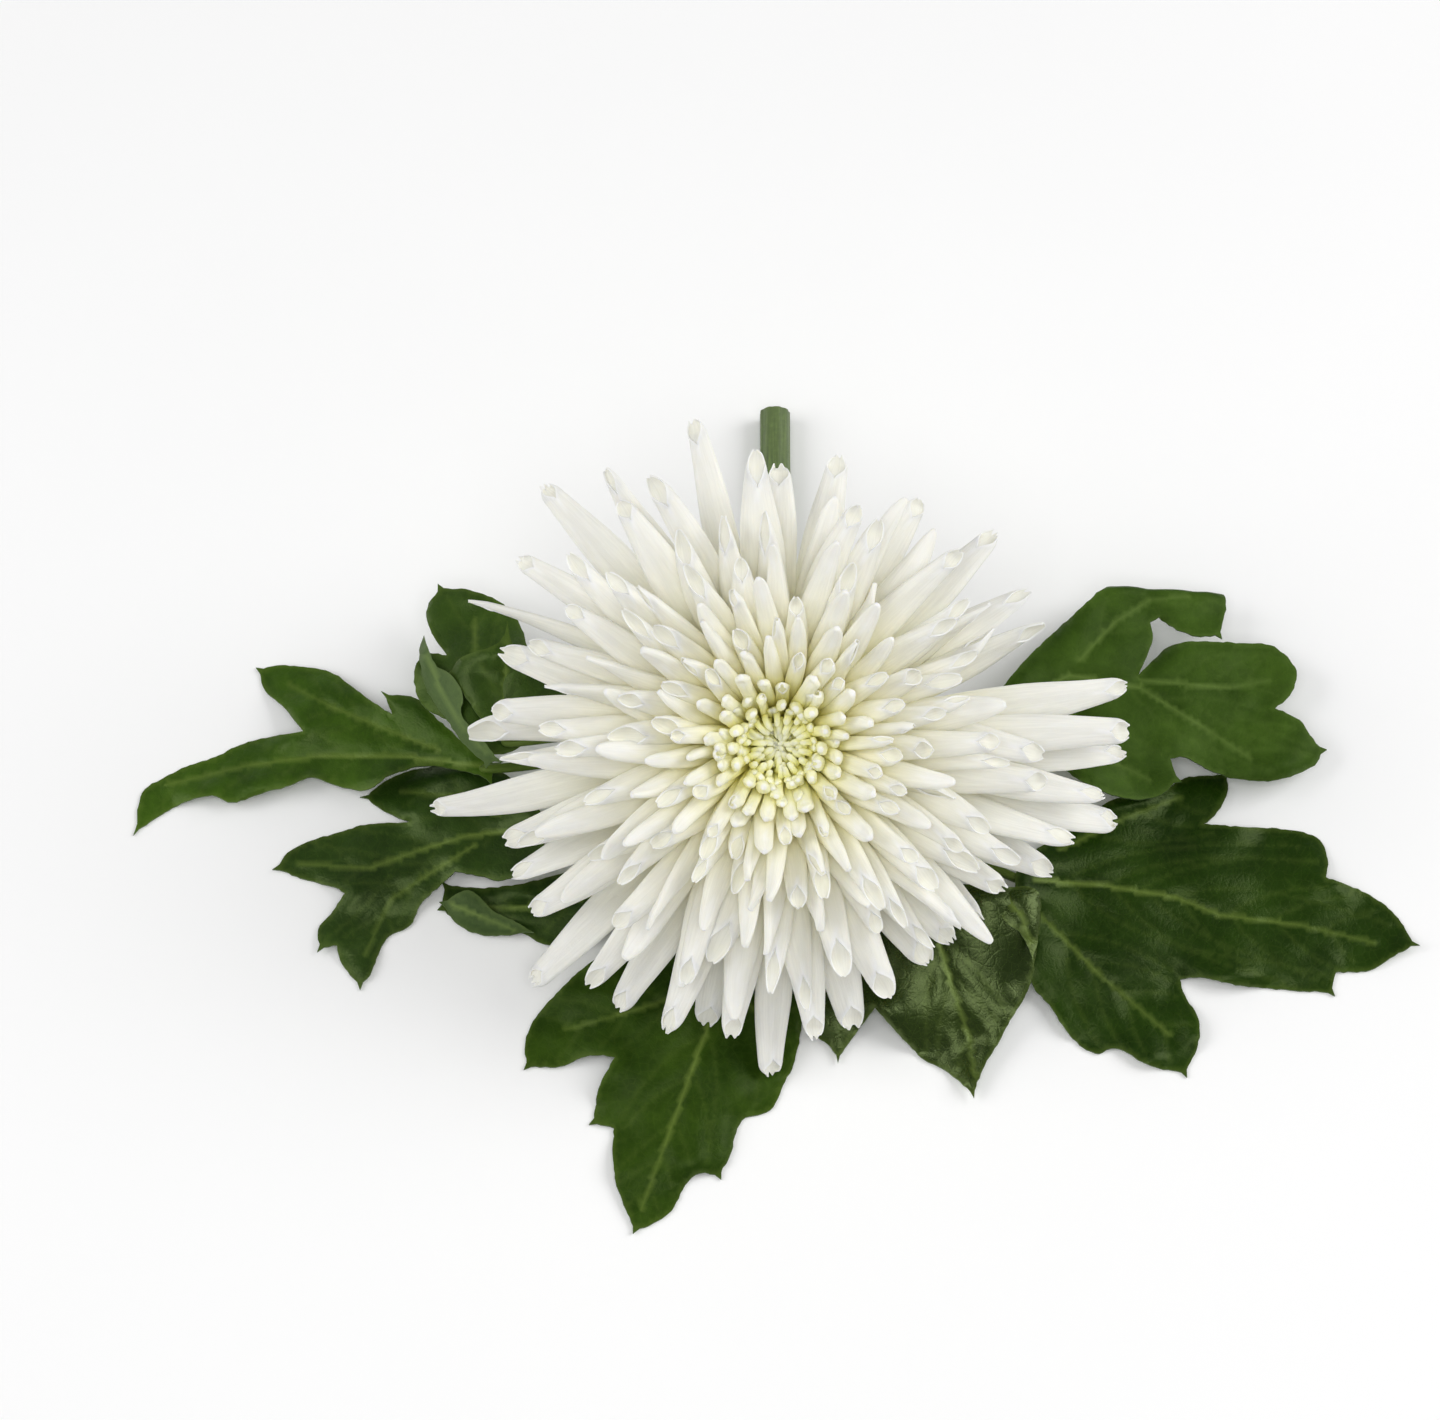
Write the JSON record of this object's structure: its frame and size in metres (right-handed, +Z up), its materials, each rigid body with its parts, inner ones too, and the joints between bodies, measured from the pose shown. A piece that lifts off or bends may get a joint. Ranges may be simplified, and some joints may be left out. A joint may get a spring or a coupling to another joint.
{
  "type": "chrysanthemum, single cut flower",
  "caption": "Cut white disbud chrysanthemum with quilled ray florets, lobed dark green leaves and a short bent stem, lying on its leaves with the bloom facing up.",
  "frame": {"origin": "centre of the bounding box in X and Y, on the surface the flower lies on", "axes": "+Z up from the surface, the bloom's face leans toward -Y, the stem runs back to its cut end along +Y, +X to the right seen from the bloom's face"},
  "size_m": [0.2618, 0.1816, 0.0772],
  "materials": {
    "petal": "matte, waxy, slightly translucent white",
    "petal_inner": "matte, waxy, slightly translucent cream",
    "petal_eye": "matte pale green-yellow",
    "leaf": "semi-gloss leaf, paler and matte below",
    "stem": "matte green, finely ribbed",
    "receptacle": "matte green",
    "bract": "matte green"
  },
  "bodies": {
    "root": {"stem": "stem", "receptacle": "receptacle", "involucre_inner": "bract", "involucre_outer": "bract", "leaf_front": "leaf", "leaf_right_large": "leaf", "leaf_front_right": "leaf", "leaf_right_upper": "leaf", "leaf_left_lower": "leaf", "leaf_left_small": "leaf", "leaf_left_upper": "leaf", "leaf_left_curled": "leaf", "ray_whorl_eye": "petal_eye", "ray_whorl_01": "petal_inner", "ray_whorl_02": "petal_inner", "ray_whorl_03": "petal_inner", "ray_whorl_04": "petal", "ray_whorl_05": "petal", "ray_whorl_06": "petal", "ray_whorl_07": "petal", "ray_whorl_08": "petal", "ray_upper_01": "petal", "ray_upper_02": "petal", "ray_upper_03": "petal", "ray_upper_04": "petal", "ray_upper_05": "petal", "ray_upper_06": "petal", "ray_upper_07": "petal", "ray_upper_08": "petal", "ray_upper_09": "petal", "ray_upper_10": "petal", "ray_upper_11": "petal", "ray_upper_12": "petal", "ray_upper_13": "petal", "ray_upper_14": "petal", "ray_upper_15": "petal", "ray_upper_16": "petal", "ray_upper_17": "petal", "ray_upper_18": "petal", "ray_lower_01": "petal", "ray_lower_02": "petal", "ray_lower_03": "petal", "ray_lower_04": "petal", "ray_lower_05": "petal", "ray_lower_06": "petal", "ray_lower_07": "petal", "ray_lower_08": "petal", "ray_lower_09": "petal", "ray_lower_10": "petal", "ray_lower_11": "petal", "ray_lower_12": "petal", "ray_lower_13": "petal", "ray_lower_14": "petal", "ray_lower_15": "petal", "ray_lower_16": "petal", "ray_lower_17": "petal", "ray_lower_18": "petal", "ray_lower_19": "petal", "ray_lower_20": "petal"}
  },
  "joints": []
}
